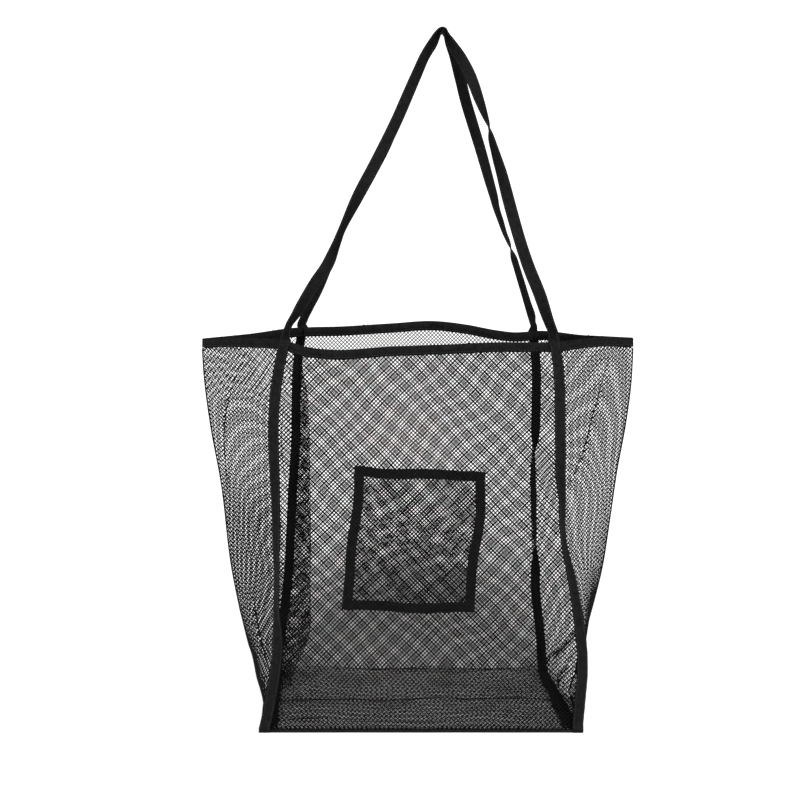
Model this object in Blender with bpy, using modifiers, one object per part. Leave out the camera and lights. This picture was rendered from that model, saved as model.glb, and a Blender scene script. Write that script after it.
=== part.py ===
"""Open-mesh beach tote with a boxed base, a taped rim, a mesh pocket and two tape handles.

+X is the bearer's right, -Y is the front and +Z is up. The origin is the centre of the footprint.
The cloth pieces are thin shells along the tote's true outer shape, and the tapes lie over them.
"""
import math

import bmesh
import bpy
from mathutils import Vector

# Driving dimensions of the body, in metres.
BASE_HALF_WIDTH = 0.160
BASE_HALF_DEPTH = 0.0735
RIM_HALF_DEPTH = 0.070
RIM_HALF_WIDTH = 0.237
SIDE_SPRING = 0.027
SIDE_SPRING_HEIGHT = 0.020
RIM_HEIGHT = 0.394
RIM_AT_STRAP = {"front": 0.389, "back": 0.407}
RIM_AT_MIDDLE = {"front": 0.383, "back": 0.415}

# Thicknesses, widths and clearances.
MESH = 0.0012
TAPE = 0.0014
BINDING = 0.0008
TAPE_WIDTH = 0.011
BINDING_WIDTH = 0.010
SEAM_WIDTH = 0.008
SEAM_THICKNESS = 0.0016
GAP = 0.0003
PANEL_EDGE_GAP = 0.0008
TIP_GAP = 0.0021
MESH_ON_STRAP = TAPE + GAP + MESH / 2
WALL_FOOT = 0.0036
SEAM_LEVEL = WALL_FOOT + SEAM_THICKNESS / 2

# Carrying tape: where it crosses the base edge and the rim.
STRAP_AT_BASE = 0.1545
STRAP_AT_RIM = {"front": 0.137, "back": 0.143}
STRAP_LIFT = MESH / 2 + GAP + TAPE / 2
STRAP_LIFT_AT_RIM = MESH / 2 + 2 * GAP + BINDING + TAPE / 2

# Handles: both loops meet at one high point, with the tape's width turned across the tote.
APEX_X = 0.027
APEX_HEIGHT = 0.737
APEX_RADIUS = 0.005
APEX_HALF_SPACE = 0.0072
HANDLE_BOW = {"left": 0.0, "right": 0.010}
LEG_STEPS = 14
APEX_STEPS = 4

# Pocket on the back panel's inner face, leaning a little to the left at its foot.
POCKET_TOP = {"left": (-0.075, 0.245), "right": (0.083, 0.239)}
POCKET_FOOT = {"left": (-0.090, 0.072), "right": (0.069, 0.069)}
POCKET_TAPE = 0.012
POCKET_EDGE_LIFT = 0.0024
POCKET_GAPE = 0.0125
POCKET_SEWN_SHARE = 0.076
POCKET_SHOULDER = 0.10

# How finely the curved pieces are divided.
WALL_ROWS = 9
PANEL_COLUMNS = 8
SIDE_COLUMNS = 6

BLACK_MESH = (0.010, 0.010, 0.011, 1.0)
BLACK_TAPE = (0.008, 0.008, 0.009, 1.0)

FACES = {"front": -1, "back": 1}
HANDS = {"left": -1, "right": 1}


def empty_the_scene():
    for item in list(bpy.data.objects):
        bpy.data.objects.remove(item, do_unlink=True)


def make_collection(name):
    collection = bpy.data.collections.new(name)
    bpy.context.scene.collection.children.link(collection)
    return collection


def make_material(name, colour, roughness):
    material = bpy.data.materials.new(name)
    material.use_nodes = True
    shader = material.node_tree.nodes["Principled BSDF"]
    shader.inputs["Base Color"].default_value = colour
    shader.inputs["Roughness"].default_value = roughness
    shader.inputs["Metallic"].default_value = 0.0
    return material


def mix(low, high, share):
    return low + (high - low) * share


def shell(name, rows, thickness, material, collection, origin=(0, 0, 0)):
    """A grid of points made into one sheet and thickened equally to both sides."""
    bm = bmesh.new()
    offset = Vector(origin)
    grid = [[bm.verts.new(Vector(point) - offset) for point in row] for row in rows]
    for lower, upper in zip(grid, grid[1:]):
        for left in range(len(lower) - 1):
            bm.faces.new((lower[left], lower[left + 1], upper[left + 1], upper[left]))
    mesh = bpy.data.meshes.new(name)
    bm.to_mesh(mesh)
    bm.free()
    mesh.materials.append(material)
    mesh.shade_smooth()
    item = bpy.data.objects.new(name, mesh)
    item.location = offset
    collection.objects.link(item)
    thicken = item.modifiers.new("thickness", "SOLIDIFY")
    thicken.thickness = thickness
    thicken.offset = 0.0
    thicken.use_even_offset = True
    return item


# ---- The tote's outer shape -------------------------------------------------------------------

def half_depth(height):
    """Distance of the front and back faces from the middle, closing a little at the rim."""
    return mix(BASE_HALF_DEPTH, RIM_HALF_DEPTH, (height / RIM_HEIGHT) ** 3)


def side_reach(height):
    """Half width at the side seams: it springs out just above the base, then widens evenly."""
    sprung = SIDE_SPRING * (1 - math.exp(-height / SIDE_SPRING_HEIGHT))
    top = RIM_HALF_WIDTH - BASE_HALF_WIDTH - SIDE_SPRING
    return BASE_HALF_WIDTH + sprung + top * height / RIM_HEIGHT


def strap_place(face, height):
    return mix(STRAP_AT_BASE, STRAP_AT_RIM[face], height / RIM_AT_STRAP[face])


def rim_height(face, x):
    """Height of the rim: one curve between the straps, then straight out to the side seam."""
    strap = STRAP_AT_RIM[face]
    if abs(x) < strap:
        dip = math.cos(math.pi / 2 * x / strap)
        return mix(RIM_AT_STRAP[face], RIM_AT_MIDDLE[face], dip)
    share = (abs(x) - strap) / (RIM_HALF_WIDTH - strap)
    return mix(RIM_AT_STRAP[face], RIM_HEIGHT, min(share, 1.0))


def side_point(face, hand, share, height):
    """A point of the side wall, from the strap at share 0 to the side seam at share 1."""
    depth = half_depth(height)
    start = Vector((strap_place(face, height) + PANEL_EDGE_GAP, depth))
    end = Vector((side_reach(height), TIP_GAP))
    corner = Vector((side_reach(height), depth))
    fullness = mix(0.12, 1.0, math.exp(-height / 0.05))
    pull = (start + end) / 2 + (corner - (start + end) / 2) * fullness
    rest = 1 - share
    plan = start * rest * rest + pull * 2 * rest * share + end * share * share
    return Vector((HANDS[hand] * plan.x, FACES[face] * plan.y, height))


def shares(count):
    return [index / count for index in range(count + 1)]


def wall_heights(face, x):
    """Rows from the foot of a wall to just inside the rim binding, with one at the binding's foot."""
    top = rim_height(face, x)
    band_foot = top - BINDING_WIDTH
    rows = [mix(WALL_FOOT, band_foot, share ** 1.3) for share in shares(WALL_ROWS)]
    return rows + [top - BINDING - GAP * 2]


# ---- Cloth --------------------------------------------------------------------------------------

def make_panels(material, collection):
    for face, side in FACES.items():
        columns = []
        for share in shares(PANEL_COLUMNS):
            x_share = 2 * share - 1
            at_rim = x_share * STRAP_AT_RIM[face]
            column = []
            for height in wall_heights(face, at_rim):
                edge = strap_place(face, height) - PANEL_EDGE_GAP
                column.append((x_share * edge, side * half_depth(height), height))
            columns.append(column)
        shell(f"{face}_panel", columns, MESH, material, collection)


def make_sides(material, collection):
    for face in FACES:
        for hand in HANDS:
            columns = []
            for share in shares(SIDE_COLUMNS):
                at_rim = side_point(face, hand, share, RIM_HEIGHT).x
                heights = wall_heights(face, at_rim)
                columns.append([side_point(face, hand, share, height) for height in heights])
            shell(f"{face}_{hand}_side", columns, MESH, material, collection)


def make_base(material, collection):
    for face, side in FACES.items():
        near = side * PANEL_EDGE_GAP / 2
        far = side * BASE_HALF_DEPTH
        rows = [[(-BASE_HALF_WIDTH, y, MESH_ON_STRAP), (BASE_HALF_WIDTH, y, MESH_ON_STRAP)]
                for y in (near, far)]
        shell(f"{face}_base", rows, MESH, material, collection)


# ---- Seams, which stand on the inside -----------------------------------------------------------

def make_seams(material, collection):
    inner = BASE_HALF_WIDTH - SEAM_WIDTH - MESH
    rows = [[(-inner + SEAM_WIDTH, y, SEAM_LEVEL), (inner - SEAM_WIDTH, y, SEAM_LEVEL)]
            for y in (-SEAM_WIDTH / 2, SEAM_WIDTH / 2)]
    shell("base_seam", rows, SEAM_THICKNESS, material, collection)
    for hand, side in HANDS.items():
        reach = BASE_HALF_WIDTH - MESH - GAP * 2
        half_run = BASE_HALF_DEPTH - 0.014
        rows = [[(side * x, y, SEAM_LEVEL) for x in (reach - SEAM_WIDTH, reach)]
                for y in (-half_run, half_run)]
        shell(f"{hand}_corner_seam", rows, SEAM_THICKNESS, material, collection)
        foot = WALL_FOOT + SEAM_THICKNESS + GAP * 2
        top = RIM_HEIGHT - BINDING_WIDTH - BINDING
        rows = []
        for share in shares(9):
            height = mix(foot, top, share ** 1.3)
            reach = side_reach(height)
            rows.append([(side * x, 0, height) for x in (reach - SEAM_WIDTH, reach)])
        shell(f"{hand}_side_seam", rows, SEAM_THICKNESS, material, collection)


# ---- Tapes --------------------------------------------------------------------------------------

def rim_path(face, below):
    """Points of one half of the rim, a given distance below its edge, from left seam to right."""
    strap = STRAP_AT_RIM[face]
    path = []
    for hand, order in (("left", shares(SIDE_COLUMNS)[::-1]), ("right", shares(SIDE_COLUMNS))):
        if path:
            for share in shares(PANEL_COLUMNS)[1:-1]:
                x = mix(-strap, strap, share)
                height = rim_height(face, x) - below
                path.append(Vector((x, FACES[face] * half_depth(height), height)))
        for share in order:
            at_rim = side_point(face, hand, share, RIM_HEIGHT).x
            path.append(side_point(face, hand, share, rim_height(face, at_rim) - below))
    return path


def outward_steps(path, side, reach):
    """The level step from each point of a path to a line beside it, outside the tote."""
    steps = []
    for index in range(len(path)):
        ahead = path[min(index + 1, len(path) - 1)]
        behind = path[max(index - 1, 0)]
        along = (ahead - behind).to_2d().normalized()
        steps.append(Vector((along.y, -along.x, 0)) * reach * -side)
    return steps


def make_rim_bindings(material, collection):
    """A strip folded over the cloth's top edge: outer face, fold and inner face."""
    reach = MESH / 2 + GAP + BINDING / 2
    for face, side in FACES.items():
        foot = rim_path(face, BINDING_WIDTH)
        fold = rim_path(face, BINDING / 2)
        foot_steps = outward_steps(foot, side, reach)
        fold_steps = outward_steps(fold, side, reach)
        rows = []
        for low, low_step, high, high_step in zip(foot, foot_steps, fold, fold_steps):
            rows.append((low + low_step, high + high_step, high - high_step, low - low_step))
        shell(f"{face}_rim_binding", rows, BINDING, material, collection)


def strap_lift(face, height):
    """How far the tape's middle stands off the cloth: it steps out over the rim binding."""
    below = RIM_AT_STRAP[face] - BINDING_WIDTH - height
    step = min(max(1 - below / BINDING_WIDTH, 0.0), 1.0)
    return mix(STRAP_LIFT, STRAP_LIFT_AT_RIM, step)


def make_straps(material, collection):
    half = TAPE_WIDTH / 2
    foot = TAPE + GAP
    for face, face_side in FACES.items():
        top = RIM_AT_STRAP[face]
        step_heights = (top - 2 * BINDING_WIDTH, top - BINDING_WIDTH, top)
        heights = [mix(foot, step_heights[0], share) for share in shares(8)] + list(step_heights[1:])
        for hand, side in HANDS.items():
            rows = []
            for height in heights:
                centre = side * strap_place(face, height)
                y = face_side * (half_depth(height) + strap_lift(face, height))
                rows.append([(centre + x, y, height) for x in (-half, half)])
            shell(f"{face}_{hand}_strap", rows, TAPE, material, collection)
    end = BASE_HALF_DEPTH + STRAP_LIFT + TAPE / 2
    for hand, side in HANDS.items():
        rows = [[(side * STRAP_AT_BASE + x, y, TAPE / 2) for x in (-half, half)] for y in (-end, end)]
        shell(f"{hand}_base_strap", rows, TAPE, material, collection)


def handle_axis(face):
    """The line that a handle folds about: just outside the top end of its straps."""
    out = RIM_HALF_DEPTH + STRAP_LIFT_AT_RIM + TAPE + 2 * GAP
    return Vector((0, FACES[face] * out, RIM_AT_STRAP[face] + GAP))


def handle_leg(face, hand):
    """Centre line of one leg, from the rim to the start of the top fold."""
    side = HANDS[hand]
    foot = handle_axis(face) + Vector((side * STRAP_AT_RIM[face], 0, 0))
    head = Vector((APEX_X + side * APEX_RADIUS, FACES[face] * APEX_HALF_SPACE, APEX_HEIGHT - APEX_RADIUS))
    points = []
    for share in shares(LEG_STEPS):
        point = foot.lerp(head, share)
        point.x += side * HANDLE_BOW[hand] * math.sin(math.pi * share) * share
        points.append(point)
    return points


def handle_line(face):
    """Centre line of a whole handle, with the share of its quarter turn at each point."""
    left = handle_leg(face, "left")
    right = handle_leg(face, "right")
    y = left[-1].y
    fold = []
    for step in range(1, APEX_STEPS):
        angle = math.pi * step / APEX_STEPS
        fold.append(Vector((APEX_X - APEX_RADIUS * math.cos(angle), y,
                            APEX_HEIGHT - APEX_RADIUS + APEX_RADIUS * math.sin(angle))))
    turns = shares(LEG_STEPS)
    points = left + fold + right[::-1]
    return points, turns + [1.0] * len(fold) + turns[::-1]


def make_handles(material, collection):
    """A tape that lies level across the rim at its feet and turns a quarter turn up each leg."""
    for face, face_side in FACES.items():
        points, turns = handle_line(face)
        rows = []
        for index, point in enumerate(points):
            ahead = points[min(index + 1, len(points) - 1)]
            behind = points[max(index - 1, 0)]
            along = (ahead - behind).normalized()
            across = Vector((0, 1, 0))
            flat = along.cross(across).normalized()
            if turns[index] == 0:
                flat = Vector((1, 0, 0))
            elif index <= len(points) // 2:
                flat = -flat
            angle = math.pi / 2 * math.sin(math.pi / 2 * turns[index])
            wide = flat * math.cos(angle) + flat.cross(along) * math.sin(angle)
            rows.append((point, wide.normalized() * TAPE_WIDTH / 2))
        keep_the_same_side(rows)
        grid = [[point - wide, point + wide] for point, wide in rows]
        shell(f"{face}_handle", grid, TAPE, material, collection, handle_axis(face))


def keep_the_same_side(rows):
    """Each row's width points the same way as the row before it, so that the tape never flips."""
    for index in range(1, len(rows)):
        point, wide = rows[index]
        if wide.dot(rows[index - 1][1]) < 0:
            rows[index] = (point, -wide)


# ---- Pocket -------------------------------------------------------------------------------------

def pocket_point(across, up):
    """A point of the pocket, which bellies away from the back panel and gapes at its mouth."""
    foot = Vector(POCKET_FOOT["left"]).lerp(Vector(POCKET_FOOT["right"]), across)
    head = Vector(POCKET_TOP["left"]).lerp(Vector(POCKET_TOP["right"]), across)
    place = foot.lerp(head, up)
    inside = min(across, 1 - across, up) - POCKET_SEWN_SHARE
    swell = min(max(inside / POCKET_SHOULDER, 0.0), 1.0)
    away = MESH / 2 + POCKET_EDGE_LIFT + POCKET_GAPE * swell * swell * (3 - 2 * swell)
    return Vector((place.x, half_depth(place.y) - away, place.y))


def make_pocket(mesh_material, tape_material, collection):
    """A sheet with a tape along each edge, which fold over the sheet's edges."""
    width = POCKET_TOP["right"][0] - POCKET_TOP["left"][0]
    height = POCKET_TOP["left"][1] - POCKET_FOOT["left"][1]
    edge = POCKET_TAPE / width
    band = POCKET_TAPE / height
    gap = PANEL_EDGE_GAP / width
    inner = (edge + gap, 1 - edge - gap)
    pieces = {"pocket_mesh": (inner, (band + gap, 1 - band - gap), 12, 12),
              "pocket_left_tape": ((0, edge), (0, 1), 2, 14),
              "pocket_right_tape": ((1 - edge, 1), (0, 1), 2, 14),
              "pocket_top_tape": (inner, (1 - band, 1), 12, 2),
              "pocket_bottom_tape": (inner, (0, band), 12, 2)}
    for name, (spans_across, spans_up, columns, rows) in pieces.items():
        material = mesh_material if name == "pocket_mesh" else tape_material
        grid = [[pocket_point(mix(*spans_across, across), mix(*spans_up, up))
                 for across in shares(columns)] for up in shares(rows)]
        shell(name, grid, MESH, material, collection)


def main():
    empty_the_scene()
    collection = make_collection("beach_bag")
    mesh_material = make_material("black_mesh", BLACK_MESH, 0.55)
    tape_material = make_material("black_tape", BLACK_TAPE, 0.70)
    make_panels(mesh_material, collection)
    make_sides(mesh_material, collection)
    make_base(mesh_material, collection)
    make_seams(mesh_material, collection)
    make_rim_bindings(tape_material, collection)
    make_straps(tape_material, collection)
    make_handles(tape_material, collection)
    make_pocket(mesh_material, tape_material, collection)


main()
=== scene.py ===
"""The looks of an open-mesh beach tote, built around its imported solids.

The cloth is a real net: every thread between two crossings is a small faceted strand, laid out on the flat
cloth and then mapped onto the tote's sagging walls. The tapes are swept along the same walls.
Metres throughout; +X is to the right as one faces the front, -Y is the front and +Z is up.
"""

import math

import bpy
import numpy as np
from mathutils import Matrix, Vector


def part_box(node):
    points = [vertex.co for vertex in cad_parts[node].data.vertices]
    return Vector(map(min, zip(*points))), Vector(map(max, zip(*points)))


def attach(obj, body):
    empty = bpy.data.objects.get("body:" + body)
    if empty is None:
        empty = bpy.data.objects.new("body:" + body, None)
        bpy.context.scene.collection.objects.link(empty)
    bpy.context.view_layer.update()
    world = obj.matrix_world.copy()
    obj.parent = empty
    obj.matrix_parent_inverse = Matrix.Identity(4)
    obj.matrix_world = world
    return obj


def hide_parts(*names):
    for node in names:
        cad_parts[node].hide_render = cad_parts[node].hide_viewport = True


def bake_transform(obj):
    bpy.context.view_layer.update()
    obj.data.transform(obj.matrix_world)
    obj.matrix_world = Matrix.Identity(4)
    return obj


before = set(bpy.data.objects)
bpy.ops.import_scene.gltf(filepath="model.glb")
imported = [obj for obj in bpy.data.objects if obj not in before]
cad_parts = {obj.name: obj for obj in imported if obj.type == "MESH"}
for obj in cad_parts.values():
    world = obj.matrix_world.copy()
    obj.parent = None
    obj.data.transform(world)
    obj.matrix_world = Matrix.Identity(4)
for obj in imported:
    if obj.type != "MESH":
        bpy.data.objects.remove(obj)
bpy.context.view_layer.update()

FACES = {"front": -1, "back": 1}
HANDS = {"left": -1, "right": 1}
MM = 0.001
RIGHT = (1.0, 0, 0)
BACKWARD = (0, 1.0, 0)
UP = (0, 0, 1.0)

# Net: thread spacing along each diagonal, thread width and thickness, and how far it stops below the rim.
PITCH = 3.15 * MM
THREAD_WIDTH = 0.96 * MM
THREAD_DEPTH = 0.66 * MM
CUT_MARGIN = 1.2 * MM
# Where the walls' nets begin, and the flat cloth that they are laid out on: its low and high corners.
NET_FOOT = 2.6 * MM
WALL_CLOTH = ((-0.27, 0), (0.27, 0.42))
# The back net's crossings lie beside the front's, across and up.
BACK_SHIFT = (0.9 * MM, 1.3 * MM)
# Where cloth is folded over: its second layer's shift along the cloth and outward, and its gathered edge's
# radius, depth below the cloth and sides.
FOLD_SHIFT = (1.1 * MM, 0.5 * MM)
FOLD_LIFT = -1.3 * MM
FOLD_EDGE = 0.45 * MM
FOLD_EDGE_SINK = 0.7 * MM
CORD_SIDES = 6
# Threads are wider by this share in the left side's slack cloth, and this wide over the first stretch of
# cloth beside the back left strap.
SLACK_THREAD = 0.26
PLEAT_THREAD = 0.80 * MM
PLEAT_CLOTH = 70 * MM
# How far the threads stray from an even grid, and how far the side cloth hangs askew, as rise over run.
THREAD_DRIFT = 0.5 * MM
SIDE_SKEW = 0.2

# Tapes, and the stitches along them.
STRAP_WIDTH = 11.0 * MM
HANDLE_WIDTH = 12.6 * MM
TAPE_DEPTH = 1.3 * MM
BINDING_HEIGHT = {"front": 10.0 * MM, "back": 11.4 * MM}
BINDING_HALF_DEPTH = 1.3 * MM
BINDING_CLOTH = 0.75 * MM
POCKET_TAPE_WIDTH = 12.0 * MM
POCKET_TAPE_DEPTH = 1.5 * MM
STITCH_PITCH = 3.0 * MM
STITCH_LENGTH = 2.1 * MM
STITCH_INSET = 1.4 * MM
# Where the walls turn under: the cloth's radius, the height where a strap begins to bend, the bend's length
# inward, and the rolled edge's width and its place outward.
EDGE_RADIUS = {"front": 3.0 * MM, "back": 10.0 * MM}
STRAP_FOOT = {"front": 3.2 * MM, "back": 10.0 * MM}
FOOT_BEND = {"front": 2.2 * MM, "back": 10.0 * MM}
FOOT_ROLL = {"front": 3.0 * MM, "back": 0.5 * MM}
FOOT_REACH = {"front": 1.1 * MM, "back": 0.0}
CORNER_SEAM_WIDTH = 9.0 * MM
SIDE_SEAM_WIDTH = 2.6 * MM
# How far from the middle plane each wall meets the side seam.
TIP_DEPTH = 0.6 * MM

# Light: the sun-like key's elevation and softness in degrees and its power, the even fill, and the sky as
# the camera sees it.
KEY_ELEVATION = 28
KEY_SOFTNESS = 38
KEY_POWER = 7.2
FILL = 0.36
BACKGROUND = 1.35

# Camera: level, a little left of the middle and just below the height of the rim.
LENS_MM = 32.6
SENSOR_MM = 36.0
VIEW_SHIFT = -0.046
VIEW_DISTANCE = 0.724
VIEW_LEFT = -0.020
VIEW_HEIGHT = 0.3685


# ---- Reading the frame ----

def node_points(node):
    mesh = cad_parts[node].data
    return np.array([vertex.co for vertex in mesh.vertices], float).reshape(-1, 3)


def fitted(node, coordinate, degree):
    """How one coordinate of a CAD node changes with height, as a polynomial."""
    points = node_points(node)
    return np.poly1d(np.polyfit(points[:, 2], points[:, coordinate], degree))


def outer_edge(node):
    """The greatest |x| of a CAD node at each of its levels, as a function of height."""
    points = node_points(node)
    levels = np.unique(np.round(points[:, 2], 4))
    reach = [np.abs(points[np.abs(points[:, 2] - level) < MM, 0]).max() for level in levels]
    return lambda height: np.interp(height, levels, reach)


WALL_DEPTH = {face: fitted(f"{face}_panel", 1, 3) for face in FACES}
STRAP_X = {(face, hand): fitted(f"{face}_{hand}_strap", 0, 1) for face in FACES for hand in HANDS}
SIDE_X = {hand: outer_edge(f"{hand}_side_seam") for hand in HANDS}
BASE_HALF_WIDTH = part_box("front_base")[1].x
BASE_HALF_DEPTH = -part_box("front_base")[0].y
TIP_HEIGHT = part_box("front_left_side")[1].z + 1.5 * MM
APEX_X = float(node_points("front_handle")[node_points("front_handle")[:, 2].argmax(), 0])
APEX_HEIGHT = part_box("front_handle")[1].z


# ---- Smooth lines through listed points ----

def clamp(share):
    return np.clip(share, 0, 1)


def cubic(t, start, end, start_pull, end_pull):
    """A smooth change from start to end as t goes from 0 to 1, leaving and arriving with the given pulls."""
    return (start * (2 * t ** 3 - 3 * t ** 2 + 1) + end * (3 * t ** 2 - 2 * t ** 3)
            + start_pull * (t ** 3 - 2 * t ** 2 + t) + end_pull * (t ** 3 - t ** 2))


def smooth(points):
    """A function through (place, value) pairs, with no corners and level outside them."""
    places, values = np.array(points, float).T
    slopes = np.gradient(values, places)

    def value(place):
        place = np.clip(place, places[0], places[-1])
        index = np.clip(np.searchsorted(places, place) - 1, 0, len(places) - 2)
        span = places[index + 1] - places[index]
        t = (place - places[index]) / span
        return cubic(t, values[index], values[index + 1], slopes[index] * span, slopes[index + 1] * span)
    return value


def distances(points):
    """How far along a line of points each one is."""
    return np.concatenate([[0], np.cumsum(np.linalg.norm(np.diff(points, axis=0), axis=1))])


def spline(points, step):
    """Rows of values along a smooth line through the points, evenly spaced along its first three."""
    points = np.array(points, float)
    along = distances(points[:, :3])
    count = max(int(along[-1] / step), 2)
    places = np.linspace(0, along[-1], count + 1)
    columns = [smooth(np.column_stack([along, points[:, column]])) for column in range(points.shape[1])]
    return np.column_stack([column(places) for column in columns])


# How far the straps and the side seams wander from the CAD's lines: (height in m, shift outward in mm).
STRAP_WANDER = {
    ("front", "left"): ((0, 1.5), (0.03, -3.5), (0.09, -9.5), (0.15, -9.3), (0.2, -5.2), (0.25, -0.4),
        (0.31, 6), (0.35, 4.6), (0.375, 1.5), (0.39, -1.5)),
    ("front", "right"): ((0, 2.5), (0.03, 6.5), (0.065, 11), (0.11, 8.8), (0.15, 2.2), (0.19, -7),
        (0.24, -5.2), (0.28, -1.6), (0.31, -0.5), (0.37, 0), (0.39, -3)),
    ("back", "left"): ((0, 14), (0.04, 10), (0.09, 5), (0.13, 2.5), (0.2, 1.5), (0.29, -1), (0.36, -0.5),
        (0.395, -3.5), (0.412, -6)),
    ("back", "right"): ((0, -3), (0.04, -4), (0.09, -8), (0.16, -7.8), (0.21, -7), (0.245, -6.5),
        (0.3, -3.2), (0.37, -1), (0.41, -3.5)),
}
# How far a strap is turned from the panel towards the side wall: (height in m, share).
STRAP_TURN = {
    ("front", "left"): ((0, 0), (0.09, 0.3), (0.12, 1.1), (0.172, 1.2), (0.2, 0.85), (0.24, 0.6),
        (0.3, 0.1), (0.35, 0)),
    ("front", "right"): ((0.1, 0), (0.13, 0.4), (0.156, 0.7), (0.171, 1.0), (0.19, 1.3), (0.216, 1.25),
        (0.235, 1.0), (0.25, 0.5), (0.29, 0)),
    ("back", "left"): ((0, 0), (0.4, 0)),
    ("back", "right"): ((0.08, 0), (0.12, 0.35), (0.16, 0.8), (0.2, 1.0), (0.235, 1.2), (0.26, 0.8),
        (0.29, 0.3), (0.33, 0)),
}
SIDE_WANDER = {
    "left": ((0, 0), (0.018, -3.5), (0.05, -7), (0.075, -5), (0.11, -2), (0.14, 0), (0.24, 0), (0.3, 3.5),
        (0.36, 3.5), (0.394, 1)),
    "right": ((0, 1), (0.02, -8), (0.05, -13), (0.075, -11), (0.11, -6.5), (0.14, -3), (0.2, -1), (0.25, 0),
        (0.3, 3), (0.34, 3.5), (0.394, 0)),
}
# The rim's top edge above its tips, in mm: (x in m, rise).
RIM_RISE = {
    "front": ((-0.237, 1.8), (-0.17, 0.2), (-0.1376, -2.3), (-0.112, -9.6), (-0.09, -12), (-0.03, -8.8),
        (0.03, -6.6), (0.077, -4.6), (0.137, -4), (0.18, 1), (0.237, 2.6)),
    "back": ((-0.237, 1.8), (-0.19, 8.2), (-0.143, 16.5), (-0.09, 18.5), (-0.03, 22.2), (0.02, 25),
        (0.06, 20.6), (0.095, 14), (0.114, 11.6), (0.15, 13), (0.19, 7), (0.237, 2.6)),
}
# The pleat that the cloth makes beside a back strap: (height in m, reach inward and place behind the middle
# in mm).
PLEAT = {
    "left": ((0, 20, 25), (0.02, 27, 44), (0.04, 34, 50), (0.056, 36, 56), (0.087, 31.5, 60),
        (0.19, 25.5, 57), (0.243, 21.5, 59), (0.3, 17, 61), (0.333, 14.5, 64), (0.365, 7, 66),
        (0.42, 0, 68)),
    "right": ((0, 0, 60), (0.1, 3, 62), (0.22, 6, 64), (0.3, 3, 66), (0.36, 1, 67), (0.42, 0, 68)),
}
# Creases in the side walls: (distance from the strap, height) in m, depth and half width in mm. Where one is
# wider than FOLDED_WIDTH, in mm, the cloth lies folded over itself.
FOLDED_WIDTH = 2
CREASES = (
    ("front", "left", ((0.05, 0.38), (0.07, 0.336), (0.082, 0.3), (0.089, 0.271), (0.091, 0.225)), 2.2, 1.5),
    ("front", "right", ((0.078, 0.375), (0.071, 0.36), (0.055, 0.32), (0.036, 0.276), (0.014, 0.242)),
        2.0, 1.5),
    ("back", "right", ((0.014, 0.009), (0.03, 0.024), (0.053, 0.045), (0.074, 0.072)), 2.6, 3.0),
    ("back", "right", ((0.046, 0.004), (0.06, 0.022), (0.075, 0.048)), 1.8, 2.2),
    ("back", "left", ((0.05, 0.33), (0.062, 0.27), (0.058, 0.2)), 1.6, 1.4),
    ("front", "left", ((0.01, 0.05), (0.04, 0.085), (0.055, 0.13)), 1.6, 1.6),
)


def column_of(rows, column):
    """A smooth function of a table's first column, giving one of its others."""
    return smooth([(row[0], row[column]) for row in rows])


PLEATS = {hand: (column_of(rows, 1), column_of(rows, 2)) for hand, rows in PLEAT.items()}


def steps(count):
    """Evenly spaced shares from 0 to 1, as a column."""
    return np.linspace(0, 1, count)[:, None]


def to_line(line, beside, height):
    """Each place's distance from a line of legs, and its share of the way along it."""
    nearest = np.full(beside.shape, np.inf)
    share = np.zeros(beside.shape)
    for index, (start, end) in enumerate(zip(line, line[1:])):
        leg = end - start
        t = clamp(((beside - start[0]) * leg[0] + (height - start[1]) * leg[1]) / (leg @ leg))
        away = np.hypot(beside - start[0] - t * leg[0], height - start[1] - t * leg[1])
        closer = away < nearest
        nearest = np.where(closer, away, nearest)
        share = np.where(closer, (index + t) / (len(line) - 1), share)
    return nearest, share


def strap_line(face, hand):
    wander = smooth(STRAP_WANDER[face, hand])
    return lambda height: np.abs(STRAP_X[face, hand](height)) + wander(height) * MM


def side_line(hand):
    wander = smooth(SIDE_WANDER[hand])
    return lambda height: SIDE_X[hand](height) + wander(height) * MM


def rim_line(face):
    rise = smooth(RIM_RISE[face])
    return lambda x: TIP_HEIGHT + rise(x) * MM


# ---- Walls ----

# Points along half of a wall's outline: over the panel, round the side, and from strap to pleat.
FACE_POINTS = 30
FLANK_POINTS = 60
FOLD_POINTS = 24
# The shallowest pleat that is folded, in mm.
LEAST_PLEAT = 0.3


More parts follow.
